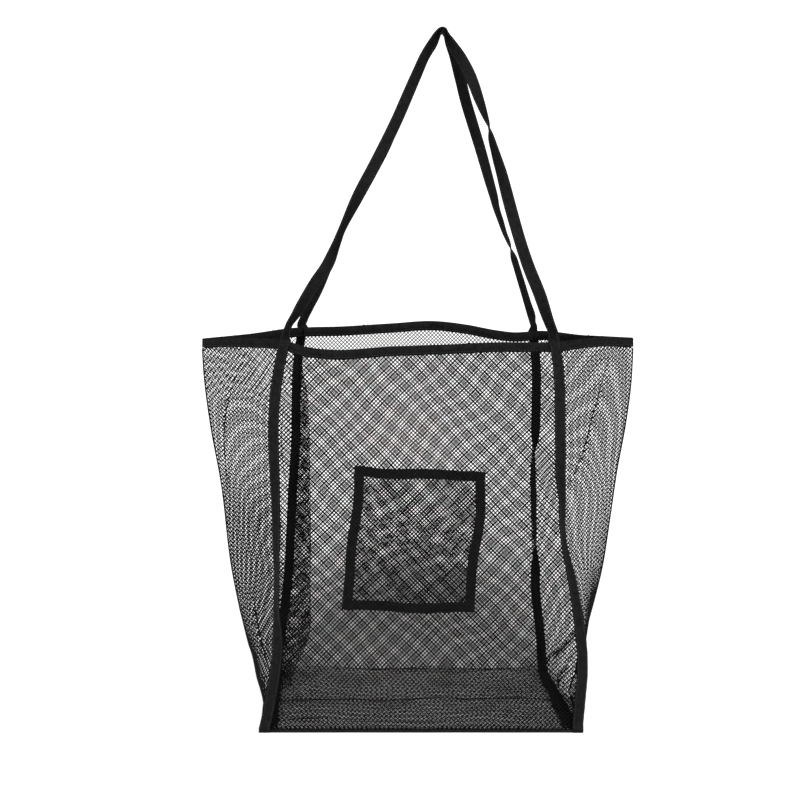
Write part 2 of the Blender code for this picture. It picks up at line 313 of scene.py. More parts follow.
class Wall:
    """The front or back cloth above the base: places on the flat cloth mapped onto the sagging wall.

    across is the distance along the cloth from the panel's middle, and height is measured up the cloth.
    """
    RISE = 1.5 * MM
    STEP = 1.0 * MM
    HEIGHTS = np.arange(-4, 292) * RISE
    ACROSS = np.arange(-330, 331) * STEP

    def __init__(self, face):
        self.face = face
        self.side = FACES[face]
        self.straps = {hand: strap_line(face, hand) for hand in HANDS}
        self.sides = {hand: side_line(hand) for hand in HANDS}
        self.rim = rim_line(face)
        self.table = np.zeros((len(self.HEIGHTS), len(self.ACROSS), 3))
        self.ends = {hand: np.zeros(len(self.HEIGHTS)) for hand in HANDS}
        for row, height in enumerate(self.HEIGHTS):
            for hand, hand_side in HANDS.items():
                outline = self.outline(hand, height)
                along = distances(outline)
                self.ends[hand][row] = along[-1]
                ours = self.ACROSS * hand_side >= 0
                place = np.abs(self.ACROSS[ours])
                self.table[row, ours, 0] = hand_side * np.interp(place, along, outline[:, 0])
                self.table[row, ours, 1] = self.side * np.interp(place, along, outline[:, 1])
            self.table[row, :, 2] = height
        self.add_waves()
        self.normals = self.find_normals()
        for crease_face, hand, line, depth, half_width in CREASES:
            if crease_face == face:
                self.add_crease(hand, np.array(line), depth * MM, half_width * MM)
        self.normals = self.find_normals()

    def find_normals(self):
        up = np.gradient(self.table, self.RISE, axis=0)
        out = np.gradient(self.table, self.STEP, axis=1)
        normal = np.cross(out, up) * -self.side
        for hand, hand_side in HANDS.items():
            last = self.ends[hand] - 2 * self.STEP
            column = np.round((hand_side * last - self.ACROSS[0]) / self.STEP).astype(int)
            beyond = hand_side * self.ACROSS[None, :] > last[:, None]
            at_last = normal[np.arange(len(last)), column]
            normal = np.where(beyond[:, :, None], at_last[:, None], normal)
        return normal / np.maximum(np.linalg.norm(normal, axis=2, keepdims=True), 1e-9)

    def add_crease(self, hand, line, depth, half_width):
        """A narrow ridge that stands inward along a line, fading out at its ends."""
        strap = self.straps[hand](self.HEIGHTS)[:, None]
        beside = HANDS[hand] * self.ACROSS[None, :] - strap
        height = np.broadcast_to(self.HEIGHTS[:, None], beside.shape)
        nearest, share = to_line(line, beside, height)
        ridge = depth * np.exp(-(nearest / half_width) ** 2) * np.sin(math.pi * clamp(share)) ** 0.5
        self.table -= self.normals * ridge[:, :, None]

    def outline(self, hand, height):
        """Half of the wall's plan at one level, from the middle of the face to the side seam."""
        level = float(np.clip(height, 0, TIP_HEIGHT + 0.02))
        depth = abs(float(WALL_DEPTH[self.face](level)))
        radius = EDGE_RADIUS[self.face]
        tuck = radius - math.sqrt(max(radius ** 2 - max(radius - level, 0) ** 2, 0))
        strap = np.array([float(self.straps[hand](level)), depth])
        tip = np.array([float(self.sides[hand](level)), TIP_DEPTH])
        fullness = 0.12 + 0.1 * math.exp(-level / 0.03)
        reach, place = [float(measure(level)) for measure in PLEATS[hand]]
        if self.face == "back" and reach > LEAST_PLEAT:
            fold = np.array([strap[0] - reach * MM, place * MM])
            near = cubic(steps(FOLD_POINTS), strap, fold, (fold - strap) * 0.9, np.array([0, -0.012]))
            far = cubic(steps(FLANK_POINTS), fold, tip, np.array([0, -0.03]), (tip - fold) * 0.8)
            flank = np.vstack([near[1:], far[1:]])
        else:
            middle = (strap + tip) / 2
            pull = middle + (np.array([tip[0], depth]) - middle) * fullness
            t = steps(FLANK_POINTS)[1:]
            flank = strap * (1 - t) ** 2 + pull * 2 * t * (1 - t) + tip * t ** 2
        face_part = np.column_stack([np.linspace(0, strap[0], FACE_POINTS), np.full(FACE_POINTS, depth)])
        outline = np.vstack([face_part, flank])
        centre_pull = outline / np.maximum(np.linalg.norm(outline, axis=1, keepdims=True), 0.02)
        return outline - centre_pull * tuck

    def add_waves(self):
        """Soft billows in the open panel and ripples down the sides, fading towards the seams."""
        height, across = np.meshgrid(self.HEIGHTS, self.ACROSS, indexing="ij")
        phase = 0.7 if self.face == "front" else 2.1
        lift = clamp(height / 0.05) * np.clip((TIP_HEIGHT + 0.02 - height) / 0.06, 0.25, 1)
        strap = np.array([float(self.straps["left"](h)) for h in self.HEIGHTS])[:, None]
        inside = clamp(1 - (np.abs(across) / strap) ** 2)
        billow = 3.2 * np.sin(height * 17 + phase) + 1.6 * np.sin(across * 31 + height * 9 + phase * 2)
        billow += (0.9 * np.sin(across * 57 - height * 23 + phase * 3)
                   + 0.5 * np.sin(across * 93 + height * 61))
        self.table[:, :, 1] += self.side * billow * inside * lift * MM
        outside = clamp((np.abs(across) - strap) / 0.03)
        flank = 1.5 * np.sin(height * 26 + phase + np.sign(across)) + 0.9 * np.sin(height * 47 + across * 80)
        at_tip = np.where(across < 0, self.ends["left"][:, None], self.ends["right"][:, None])
        fade = clamp((at_tip - np.abs(across)) / 0.02)
        self.table[:, :, 1] += self.side * flank * outside * lift * MM * fade

    def blend(self, values, across, height):
        """Values between the table's rows and columns."""
        across, height = np.broadcast_arrays(np.asarray(across, float), np.asarray(height, float))
        up = np.clip((height - self.HEIGHTS[0]) / self.RISE, 0, len(self.HEIGHTS) - 1.001)
        out = np.clip((across - self.ACROSS[0]) / self.STEP, 0, len(self.ACROSS) - 1.001)
        row, column = up.astype(int), out.astype(int)
        up, out = (up - row)[..., None], (out - column)[..., None]
        low = values[row, column] * (1 - out) + values[row, column + 1] * out
        high = values[row + 1, column] * (1 - out) + values[row + 1, column + 1] * out
        return low * (1 - up) + high * up

    def at(self, across, height):
        return self.blend(self.table, across, height)

    def normal(self, across, height):
        normal = self.blend(self.normals, across, height)
        return normal / np.linalg.norm(normal, axis=-1, keepdims=True)

    def end(self, hand, height):
        """How far the side seam is from the middle, along the cloth."""
        return np.interp(height, self.HEIGHTS, self.ends[hand])

    def folded(self, hand, across, height):
        """Which places lie where the side cloth is folded over on itself."""
        beside = HANDS[hand] * across - self.straps[hand](height)
        on_fold = np.zeros(beside.shape, bool)
        for face, crease_hand, line, _, half_width in CREASES:
            if (face, crease_hand) == (self.face, hand) and half_width > FOLDED_WIDTH:
                on_fold |= to_line(np.array(line), beside, height)[0] < half_width * MM
        return on_fold

    def strap_at(self, hand, height):
        """Where a strap lies on the flat cloth: it is straight out from the middle, so its x serves."""
        return HANDS[hand] * self.straps[hand](height)


# ---- Nets ----

def lattice(low, high):
    """Crossing points of a diagonal net over a rectangle, and its strands as pairs of crossings."""
    half = PITCH / math.sqrt(2)
    reach = int((high[0] - low[0] + high[1] - low[1]) / half / 2) + 3
    i, j = np.meshgrid(np.arange(-reach, reach), np.arange(-reach, reach), indexing="ij")
    centre = (np.array(low) + np.array(high)) / 2
    across = (i - j) * half + centre[0]
    up = (i + j) * half + centre[1]
    number = np.arange(i.size).reshape(i.shape)
    strands = {"rising": np.stack([number[:-1, :], number[1:, :]], -1).reshape(-1, 2),
               "falling": np.stack([number[:, :-1], number[:, 1:]], -1).reshape(-1, 2)}
    return np.stack([across.ravel(), up.ravel()], -1), strands


def strands_where(places, strands, test):
    """The strands whose middles pass a test of (across, up)."""
    return {kind: pairs[test(*places[pairs].mean(1).T)] for kind, pairs in strands.items()}


def strand_faces(start, end, outer, inner, sides):
    """The four faces of each strand; sides are its start's near and far corner, then its end's."""
    near, far, end_near, end_far = (numbers[at] for numbers, at in zip(sides, (start, start, end, end)))
    return [np.stack([outer[start], near, end_near, outer[end]], -1),
            np.stack([outer[start], outer[end], end_far, far], -1),
            np.stack([inner[start], inner[end], end_near, near], -1),
            np.stack([inner[start], far, end_far, inner[end]], -1)]


def net_mesh(name, surface, places, strands, thread=THREAD_WIDTH, lift=0.0, extra=()):
    """Strands with a diamond section, joined at each crossing by four hollows between them."""
    used = np.unique(np.concatenate([pairs.ravel() for pairs in strands.values()]))
    new_number = np.full(len(places), -1)
    new_number[used] = np.arange(len(used))
    rising, falling = (new_number[strands[kind]].T for kind in ("rising", "falling"))
    valley = np.broadcast_to(thread, len(places))[used] / math.sqrt(2)
    across, up = places[used].T
    centre, normal = surface(across, up)
    raised = normal * np.broadcast_to(lift, len(places))[used, None]
    centre = centre + raised
    corners = [surface(across + dx * valley, up + dy * valley)[0] + raised
               for dx, dy in ((1, 0), (-1, 0), (0, 1), (0, -1))]
    half = normal * THREAD_DEPTH / 2
    vertices = np.concatenate([centre + half, centre - half] + corners)
    outer, inner, right, left, top, down = (np.arange(len(used)) + len(used) * k for k in range(6))
    faces = np.concatenate(strand_faces(*rising, outer, inner, (right, top, down, left))
                           + strand_faces(*falling, outer, inner, (top, left, right, down)))
    return quad_mesh(name, *joined([(vertices, faces), *extra]))


def joined(shapes):
    """One set of vertices and faces from several."""
    starts = np.cumsum([0] + [len(vertices) for vertices, _ in shapes])
    vertices = np.concatenate([vertices for vertices, _ in shapes])
    return vertices, np.concatenate([faces + start for (_, faces), start in zip(shapes, starts)])


def quad_mesh(name, vertices, faces):
    mesh = bpy.data.meshes.new(name)
    mesh.vertices.add(len(vertices))
    mesh.vertices.foreach_set("co", vertices.astype(np.float32).ravel())
    mesh.loops.add(faces.size)
    mesh.loops.foreach_set("vertex_index", faces.astype(np.int32).ravel())
    mesh.polygons.add(len(faces))
    mesh.polygons.foreach_set("loop_start", np.arange(0, faces.size, 4, dtype=np.int32))
    mesh.polygons.foreach_set("loop_total", np.full(len(faces), 4, np.int32))
    mesh.update(calc_edges=True)
    mesh.validate()
    mesh.shade_smooth()
    return mesh


def add_to_scene(name, data):
    item = bpy.data.objects.new(name, data)
    bpy.context.scene.collection.objects.link(item)
    return item


def add_object(name, mesh, material):
    mesh.materials.append(material)
    return add_to_scene(name, mesh)


def finish_piece(item, node):
    """Every piece but the two handles rides on the bag's own body."""
    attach(item, "bag")
    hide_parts(node)


def make_net(name, node, mesh, material):
    """A net piece on the bag's own body, in place of its CAD node."""
    item = add_object(name, mesh, material)
    finish_piece(item, node)


def circle(count):
    """Evenly spaced angles once round."""
    return np.arange(count) / count * 2 * math.pi


def bunched_cord(points, normal):
    """A thin cord of bunched threads that tapers away at both ends."""
    angle = circle(CORD_SIDES)
    points, wide, normal = path_along(points, normal)
    radius = FOLD_EDGE * np.sin(np.linspace(0.05, math.pi - 0.05, len(points))) ** 0.4
    ring = wide[:, None] * np.cos(angle)[None, :, None] + normal[:, None] * np.sin(angle)[None, :, None]
    vertices = (points[:, None] + ring * radius[:, None, None]).reshape(-1, 3)
    return vertices, loop_faces(len(points), CORD_SIDES)


def fold_edges(wall, hand):
    """The gathered edges of the folds in one side wall."""
    cords = []
    for face, crease_hand, line, _, _ in CREASES:
        if (face, crease_hand) == (wall.face, hand):
            places = spline([(beside, height, 0) for beside, height in line], 1.5 * MM)
            across = HANDS[hand] * (places[:, 0] + wall.straps[hand](places[:, 1]))
            across = np.clip(across, -wall.end("left", places[:, 1]), wall.end("right", places[:, 1]))
            normal = wall.normal(across, places[:, 1])
            points = wall.at(across, places[:, 1]) - normal * FOLD_EDGE_SINK
            cords.append(bunched_cord(points, normal))
    return cords


def thread_widths(wall, places):
    """Threads crowd together in the left side's slack cloth, and draw thin where the pleat stretches it."""
    across, height = places.T
    beside = -across - wall.straps["left"](height)
    slack = clamp(beside / 0.03) * clamp((0.255 - height) / 0.05)
    widths = THREAD_WIDTH * (1 + SLACK_THREAD * slack)
    in_pleat = (wall.face == "back") & (beside > 0) & (beside < PLEAT_CLOTH)
    return np.where(in_pleat, PLEAT_THREAD, widths)


def skewed(wall, places):
    """The side cloth hangs askew, so that its threads lean a little beyond the straps."""
    across, height = places.T
    strap = np.where(across < 0, wall.straps["left"](height), wall.straps["right"](height))
    beyond = np.maximum(np.abs(across) - strap, 0)
    return np.column_stack([across, height + wall.side * SIDE_SKEW * beyond])


def drifted(wall, across, height):
    """Where the cloth's own stretch has drawn each crossing, away from the seams."""
    ends = np.minimum(wall.end("left", height) + across, wall.end("right", height) - across)
    free = clamp(ends / 0.03) * clamp(height / 0.04)
    phase = 1.3 * wall.side
    sideways = np.sin(height * 52 + across * 21 + phase)
    sideways += 0.7 * np.sin(across * 83 - height * 37 + 2 * phase)
    upward = np.sin(across * 47 + height * 29 - phase)
    upward += 0.7 * np.sin(height * 91 + across * 33 + 3 * phase)
    return across + sideways * free * THREAD_DRIFT, height + upward * free * THREAD_DRIFT


def in_part(wall, hand, across, height):
    """Which places belong to the panel, when hand is None, or to the side beyond that hand's strap."""
    x = wall.at(across, height)[:, 0]
    inside = (height > NET_FOOT) & (height < wall.rim(x) - CUT_MARGIN)
    inside &= (across > -wall.end("left", height)) & (across < wall.end("right", height))
    left = across < wall.strap_at("left", height)
    right = across > wall.strap_at("right", height)
    return inside & {"left": left, "right": right, None: ~left & ~right}[hand]


def make_wall_nets(wall, material):
    """One diagonal net over the whole cloth, parted under the straps."""
    places, strands = lattice(*WALL_CLOTH)
    if wall.side > 0:
        places = places + np.array(BACK_SHIFT)
    places = skewed(wall, places)
    count = len(places)
    two_layers = np.vstack([places, places + np.array(FOLD_SHIFT)])
    thread = np.tile(thread_widths(wall, places), 2)
    lift = np.repeat([0.0, FOLD_LIFT], count)

    def surface(across, height):
        return wall.at(*drifted(wall, across, height)), wall.normal(across, height)
    for part, hand in (("panel", None), ("left_side", "left"), ("right_side", "right")):
        chosen = strands_where(places, strands, lambda across, height: in_part(wall, hand, across, height))
        if hand:
            doubled = strands_where(places, chosen, lambda across, height: wall.folded(hand, across, height))
            chosen = {kind: np.vstack([pairs, doubled[kind] + count]) for kind, pairs in chosen.items()}
        node = f"{wall.face}_{part}"
        mesh = net_mesh(f"{node}_net", surface, two_layers, chosen, thread, lift, fold_edges(wall, hand))
        make_net(f"{node}_net", node, mesh, material)


# ---- Materials ----

def add_node(tree, kind, values):
    node = tree.nodes.new("ShaderNode" + kind)
    for socket, value in values.items():
        node.inputs[socket].default_value = value
    return node


def plain_material(name, roughness, specular):
    material = bpy.data.materials.new(name)
    material.use_nodes = True
    shader = material.node_tree.nodes["Principled BSDF"]
    shader.inputs["Roughness"].default_value = roughness
    shader.inputs["Specular IOR Level"].default_value = specular
    return material, material.node_tree, shader


def dyed_material(name, dark, light, scale, roughness, specular):
    """Uneven dye: object-space noise between two near-black tones."""
    material, tree, shader = plain_material(name, roughness, specular)
    place = add_node(tree, "TexCoord", {})
    noise = add_node(tree, "TexNoise", {"Scale": scale, "Detail": 3.0})
    ramp = add_node(tree, "ValToRGB", {})
    for element, position, colour in zip(ramp.color_ramp.elements, (0.3, 0.7), (dark, light)):
        element.position = position
        element.color = (*colour, 1)
    tree.links.new(place.outputs["Object"], noise.inputs["Vector"])
    tree.links.new(noise.outputs["Fac"], ramp.inputs["Fac"])
    tree.links.new(ramp.outputs["Color"], shader.inputs["Base Color"])
    return material, tree, shader


def thread_material():
    """Fine polyester net: matte, with a faint sheen."""
    return dyed_material("net_thread", (0.001, 0.001, 0.0011), (0.0028, 0.0028, 0.003), 38.0, 0.62, 0.03)[0]


def stitch_material():
    """Sewing thread, a little glossier than the tape."""
    return dyed_material("sewing_thread", (0.006, 0.006, 0.0065), (0.012, 0.012, 0.0125), 90.0, 0.5, 0.2)[0]


def tape_material(name, rib_mm, dark, light, roughness):
    """Ribbed tape: cross ribs and finer yarns, from the tape's own length and width."""
    material, tree, shader = dyed_material(name, dark, light, 240.0, roughness, 0.055)
    weave = add_node(tree, "UVMap", {})
    weave.uv_map = "weave"
    both = add_node(tree, "Math", {})
    both.operation = "MULTIPLY"
    for index, (direction, spacing, distortion) in enumerate((("Y", rib_mm, 0.6), ("X", rib_mm * 0.7, 0.0))):
        scale = 1 / spacing / 20 * 2 * math.pi
        wave = add_node(tree, "TexWave", {"Scale": scale, "Distortion": distortion})
        wave.bands_direction = direction
        tree.links.new(weave.outputs["UV"], wave.inputs["Vector"])
        tree.links.new(wave.outputs["Fac"], both.inputs[index])
    bump = add_node(tree, "Bump", {"Strength": 0.8, "Distance": 0.35 * MM})
    tree.links.new(both.outputs["Value"], bump.inputs["Height"])
    tree.links.new(bump.outputs["Normal"], shader.inputs["Normal"])
    return material


def stage_material():
    material, _, shader = plain_material("studio_white", 0.9, 0.0)
    shader.inputs["Base Color"].default_value = (0.93, 0.93, 0.93, 1)
    return material


# ---- Tapes ----

def unit(vectors):
    return vectors / np.maximum(np.linalg.norm(vectors, axis=-1, keepdims=True), 1e-9)


def tangents(points):
    return unit(np.gradient(points, axis=0))


def loop_faces(rows, columns):
    """Quads between neighbouring rows of a closed section, and quads across its two ends."""
    first = np.arange(rows - 1)[:, None] * columns
    column = np.arange(columns)[None, :]
    after = (column + 1) % columns
    faces = np.stack([first + column, first + after, first + columns + after, first + columns + column], -1)
    low = np.arange(columns // 2 - 1)
    cap = np.stack([low, columns - 1 - low, columns - 2 - low, low + 1], -1)
    return np.concatenate([faces.reshape(-1, 4), cap, cap[:, ::-1] + (rows - 1) * columns])


def section_of_tape(width, depth):
    """A tape's rounded section, with selvedges a little fuller than its middle."""
    angle = (np.arange(16) + 0.5) / 16 * 2 * math.pi
    across = np.sign(np.cos(angle)) * np.abs(np.cos(angle)) ** 0.42
    fullness = 0.86 + 0.14 * np.abs(across) ** 3
    out = np.sign(np.sin(angle)) * np.abs(np.sin(angle)) ** 0.6 * fullness
    return np.stack([across * width / 2, out * depth / 2], -1)


def section_of_binding(depth, height, thickness):
    """A strip folded over an edge: down one face, round the fold, and back up its inner side."""
    fold = np.linspace(0, math.pi, 7)
    inside = depth - thickness
    outer = [(depth * math.cos(a), depth * (math.sin(a) - 1)) for a in fold]
    inner = [(-inside * math.cos(a), inside * math.sin(a) - depth) for a in fold]
    ends = [(x, -height) for x in (depth, -depth, -inside, inside)]
    return np.array([ends[0], *outer, ends[1], ends[2], *inner, ends[3]])


def sweep(path, section):
    """Vertices of a section carried along a path, and each vertex's place on the unrolled tape in mm."""
    points, wide, normal = path
    across, out = section.T[:, None, :, None]
    vertices = points[:, None] + wide[:, None] * across + normal[:, None] * out
    places = np.broadcast_arrays(distances(section)[None, :], distances(points)[:, None])
    return vertices.reshape(-1, 3), (np.stack(places, -1) / MM).reshape(-1, 2)


def stitches(points, along, normal):
    """A capsule for each stitch, whose ends dive into the tape."""
    lengths = np.array([-0.5, -0.3, 0.3, 0.5]) * STITCH_LENGTH
    radii = np.array([0.12, 0.27, 0.27, 0.12]) * MM
    sink = np.array([-0.30, 0.0, 0.0, -0.30]) * MM
    side = np.cross(along, normal)
    angle = circle(CORD_SIDES)
    ring = (side[:, None, None] * np.cos(angle)[None, None, :, None]
            + normal[:, None, None] * np.sin(angle)[None, None, :, None]) * radii[None, :, None, None]
    spine = points[:, None] + along[:, None] * lengths[None, :, None] + normal[:, None] * sink[None, :, None]
    first = np.arange(len(points))[:, None, None] * len(lengths) * CORD_SIDES
    faces = loop_faces(len(lengths), CORD_SIDES)[None] + first
    return (spine[:, :, None] + ring).reshape(-1, 3), faces.reshape(-1, 4)


def stitch_row(points, sideways, facing, across, out):
    """Stitches along a tape, so far across from its middle line and out on the face they are sewn to."""
    line = points + sideways * across + facing * out
    along = distances(line)
    places = np.arange(STITCH_PITCH, along[-1] - STITCH_PITCH / 2, STITCH_PITCH)
    at, ahead, up = (np.stack([np.interp(places, along, values[:, axis]) for axis in range(3)], -1)
                     for values in (line, tangents(line), facing))
    ahead = unit(ahead)
    up = unit(up - ahead * (up * ahead).sum(1, keepdims=True))
    return stitches(at, ahead, up)


def tape_object(name, path, section, stitching, materials):
    """A swept tape and its rows of stitches in one mesh; materials are the tape's and the thread's."""
    tape, weave = sweep(path, section)
    tape_faces = loop_faces(len(path[0]), len(section))
    vertices, faces = joined([(tape, tape_faces)] + [stitch_row(path[0], *row) for row in stitching])
    weave = np.concatenate([weave, np.zeros((len(vertices) - len(tape), 2))])
    mesh = quad_mesh(name, vertices, faces)
    layer = mesh.uv_layers.new(name="weave")
    corners = np.zeros(len(mesh.loops), np.int32)
    mesh.loops.foreach_get("vertex_index", corners)
    layer.data.foreach_set("uv", weave[corners].astype(np.float32).ravel())
    item = add_object(name, mesh, materials[0])
    mesh.materials.append(materials[1])
    kinds = (np.arange(len(mesh.polygons)) >= len(tape_faces)).astype(np.int32)
    mesh.polygons.foreach_set("material_index", kinds)
    return item


def add_tape(name, node, slot, *shape):
    """A tape on the bag's own body, which stands for a CAD node; shape is tape_object's other values."""
    finish_piece(tape_object(name, *shape), node)


def edge_rows(path, width, depth, sides=(1,)):
    """Rows of stitches along both edges of a tape, on its outer face, its inner face (-1) or both."""
    _, wide, normal = path
    inset = width / 2 - STITCH_INSET
    return [(wide, normal * side, across, depth / 2) for side in sides for across in (-inset, inset)]


def ease(share):
    share = clamp(share)
    return share * share * (3 - 2 * share)


def path_along(points, normal):
    """Points with the width and normal directions square to them, which is the path of a tape."""
    ahead = tangents(points)
    wide = unit(np.cross(normal, ahead))
    return points, wide, unit(np.cross(ahead, wide))


def wander(count, amount, seed):
    """A slow, repeatable drift along a row of points."""
    rng = np.random.default_rng(seed)
    phases = rng.uniform(0, 2 * math.pi, 3)
    place = np.arange(count)
    return amount * sum(np.sin(place / span + phase) / 3 for span, phase in zip((5.0, 11.0, 23.0), phases))


def strap_path(wall, hand):
    """Middle line of a wall strap, from just above the base edge over the binding to the rim."""
    top = wall.rim(wall.strap_at(hand, TIP_HEIGHT))
    heights = np.linspace(STRAP_FOOT[wall.face], top + 0.6 * MM, 170)
    across = wall.strap_at(hand, heights)
    turned = smooth(STRAP_TURN[wall.face, hand])(heights)
    over = ease((heights - top + BINDING_HEIGHT[wall.face] + 4 * MM) / (4 * MM))
    foot = ease((12 * MM - heights) / (8 * MM))
    lift = THREAD_DEPTH / 2 + TAPE_DEPTH / 2 + 0.1 * MM + turned * 0.6 * MM
    lift = lift + (BINDING_HALF_DEPTH - THREAD_DEPTH / 2) * over
    lift = lift + (FOOT_REACH[wall.face] + FOOT_ROLL[wall.face] / 2) * foot
    facing = wall.normal(across - HANDS[hand] * 4 * MM, heights) * (1 - turned[:, None])
    normal = unit(facing + wall.normal(across + HANDS[hand] * 6 * MM, heights) * turned[:, None])
    points = wall.at(across + HANDS[hand] * 4 * MM * turned, heights) + normal * lift[:, None]
    points[:, 0] += wander(len(points), 0.35 * MM, len(hand) + wall.side)
    return points, normal


def make_straps(walls, materials):
    section = section_of_tape(STRAP_WIDTH, TAPE_DEPTH)
    for face, wall in walls.items():
        for hand in HANDS:
            node = f"{face}_{hand}_strap"
            path = path_along(*strap_path(wall, hand))
            rows = edge_rows(path, STRAP_WIDTH, TAPE_DEPTH)
            add_tape(f"{node}_tape", node, "carrying_tape", path, section, rows, materials)


def make_base_straps(walls, materials):
    """The tape runs on under the base and turns up at both edges to meet the wall straps."""
    section = section_of_tape(STRAP_WIDTH, TAPE_DEPTH)
    floor = TAPE_DEPTH / 2 + 0.05 * MM
    for hand in HANDS:
        front, back = (strap_bend(strap_path(wall, hand)[0][0], -wall.side * FOOT_BEND[face], floor)
                       for face, wall in walls.items())
        start, stop = np.array(front[-1]), np.array(back[-1])
        middle = start + (stop - start) * np.linspace(0, 1, 50)[1:-1, None]
        points = np.vstack([front, middle, back[::-1]])
        path = path_along(points, -unit(np.cross(tangents(points), RIGHT)))
        node = f"{hand}_base_strap"
        add_tape(f"{node}_tape", node, "carrying_tape", path, section, [], materials)


def strap_bend(end, bend, floor):
    """The quarter turn of a strap from its lower end into the base."""
    rise = end[2] - 0.25 * MM - floor
    return [(end[0], end[1] + bend * (1 - math.cos(angle)), floor + rise * (1 - math.sin(angle)))
            for angle in np.linspace(0, math.pi / 2, 11)]


def rim_points(wall, count=400):
    """Points along the top edge of one face's cloth, from its left tip to its right tip."""
    height = np.full(count, TIP_HEIGHT)
    across = np.linspace(-wall.end("left", TIP_HEIGHT), wall.end("right", TIP_HEIGHT), count)
    for _ in range(3):
        height = wall.rim(wall.at(across, height)[:, 0])
    return wall.at(across, height)


def make_rim_bindings(walls, materials):
    for face, wall in walls.items():
        section = section_of_binding(BINDING_HALF_DEPTH, BINDING_HEIGHT[face], BINDING_CLOTH)
        points = rim_points(wall)
        ahead = tangents(points)
        up = unit(UP - ahead * ahead[:, 2:])
        outward = np.cross(ahead, up) * -wall.side
        low = 2 * MM - BINDING_HEIGHT[face]
        rows = [(up, outward * sign, low, BINDING_HALF_DEPTH) for sign in (1, -1)]
        node = f"{face}_rim_binding"
        add_tape(f"{face}_rim_tape", node, "rim_binding", (points, outward, up), section, rows, materials)


# ---- Handles ----

# How far the middle of each tape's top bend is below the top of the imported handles, in mm.
APEX_DROP = {"front": 4.1, "back": 2.0}
# Middle line and turn of each leg: (x in mm, height in mm, turn in degrees), from the rim to the top.
# At 0 degrees the tape faces the front, and at 90 it is edge-on.
HANDLE_LEGS = {
    ("front", "left"): ((-134, 399, 66), (-131, 407, 66), (-126, 415, 57), (-120.5, 424, 40),
        (-105.5, 450, 25), (-95, 466, 20), (-86, 488, 52), (-80, 505, 62), (-64, 541, 30), (-47, 575, 6),
        (-25.5, 621, 18), (-3, 676, 30), (8, 702, 42), (15, 715, 52), (20.5, 724.5, 62),
        (23.4, 729.5, 80)),
    ("front", "right"): ((133.5, 399, -127), (131, 406, -131), (121, 439, -164), (112, 464, -178),
        (98, 515, -180), (92, 541, -162), (86, 568, -141), (82.3, 582, -130), (79, 595, -119),
        (75.8, 608, -106), (73, 622, -62), (69, 635, -41), (65, 648, -25), (56, 676, 0), (45, 699, 28),
        (36, 714, 52), (31, 724, 76), (29.4, 729.8, 88)),
    ("back", "left"): ((-138, 412, 36), (-135.5, 419, 46), (-129, 434, 26), (-119.8, 451, 14),
        (-106.5, 479, 35), (-86, 525, 65), (-68, 560, 28), (-52.5, 587, 8), (-38, 613, 10), (-26, 639, 22),
        (-2.5, 689, 36), (9, 711, 48), (19.5, 726, 62), (23.2, 731.5, 80)),
    ("back", "right"): ((140.5, 411, -118), (138.6, 416, -114), (137.2, 423, -126), (132.4, 437, -122),
        (118, 479, -116), (113.5, 492, -112), (108.3, 506.5, -65), (102.5, 519, -55), (97.3, 533, -47),
        (92, 547, -42), (88.5, 560, -30), (84, 574, -22), (71.5, 613, -6), (62.5, 639, 0), (54, 664, 10),
        (47, 689, 20), (39, 713, 50), (32, 727, 76), (29.8, 732, 88)),
}
# The tape's turn where it leaves the rim, in degrees, and how far the legs stand above their listed heights.
FOOT_TURN = {"front": (30, -155), "back": (22, -140)}
HANDLE_RAISE = 1.3
# A handle's top bend: how far left of the CAD's highest point in mm, its turn in degrees, and how far from the
# middle plane.
APEX_LEFT = 0.6
APEX_TURN = 99
APEX_DEPTH = 6.6 * MM


def handle_rows(face, wall):
    """Middle line of a whole handle and the turn of its tape, over the top and down again."""
    side = FACES[face]
    straps = [strap_path(wall, hand)[0] for hand in HANDS]
    feet = [points[-1] - np.array([0, side * 0.4 * MM, 0]) for points in straps]
    hidden = [[(point[0] / MM, point[2] / MM) for point in points[[-4, -2]]] for points in straps]
    top = APEX_HEIGHT / MM - APEX_DROP[face]
    left, right = ([(x, height + HANDLE_RAISE, turn) for x, height, turn in HANDLE_LEGS[face, hand]]
                   for hand in HANDS)
    starts = [(foot[0] / MM, foot[2] / MM, turn) for foot, turn in zip(feet, FOOT_TURN[face])]
    rows = [(*hidden[0][0], 0), (*hidden[0][1], 4), starts[0], *left]
    rows += [(APEX_X / MM - APEX_LEFT, top, APEX_TURN), *right[::-1]]
    rows += [starts[1], (*hidden[1][1], -176), (*hidden[1][0], -180)]
    line = spline([(x * MM, 0, height * MM, turn) for x, height, turn in rows], 2.2 * MM)
    peak = line[:, 2].argmax()
    for foot, part in zip(feet, (slice(0, peak), slice(peak, None))):
        rise = clamp((line[part, 2] - foot[2]) / (top * MM - foot[2]))
        line[part, 1] = foot[1] + (side * APEX_DEPTH - foot[1]) * rise
    return line[:, :3], np.radians(line[:, 3])


def make_handles(walls, materials):
    section = section_of_tape(HANDLE_WIDTH, TAPE_DEPTH)
    for face in FACES:
        points, turn = handle_rows(face, walls[face])
        ahead = tangents(points)
        flat = unit(np.cross(ahead, BACKWARD))
        wide = flat * np.cos(turn)[:, None] + np.cross(ahead, flat) * np.sin(turn)[:, None]
        normal = unit(np.cross(ahead, wide))
        path = (points, wide, normal)
        rows = edge_rows(path, HANDLE_WIDTH, TAPE_DEPTH, (1, -1))
        item = tape_object(f"{face}_handle_tape", path, section, rows, materials)
        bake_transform(item)
        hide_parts(f"{face}_handle")


# ---- Base and seams ----

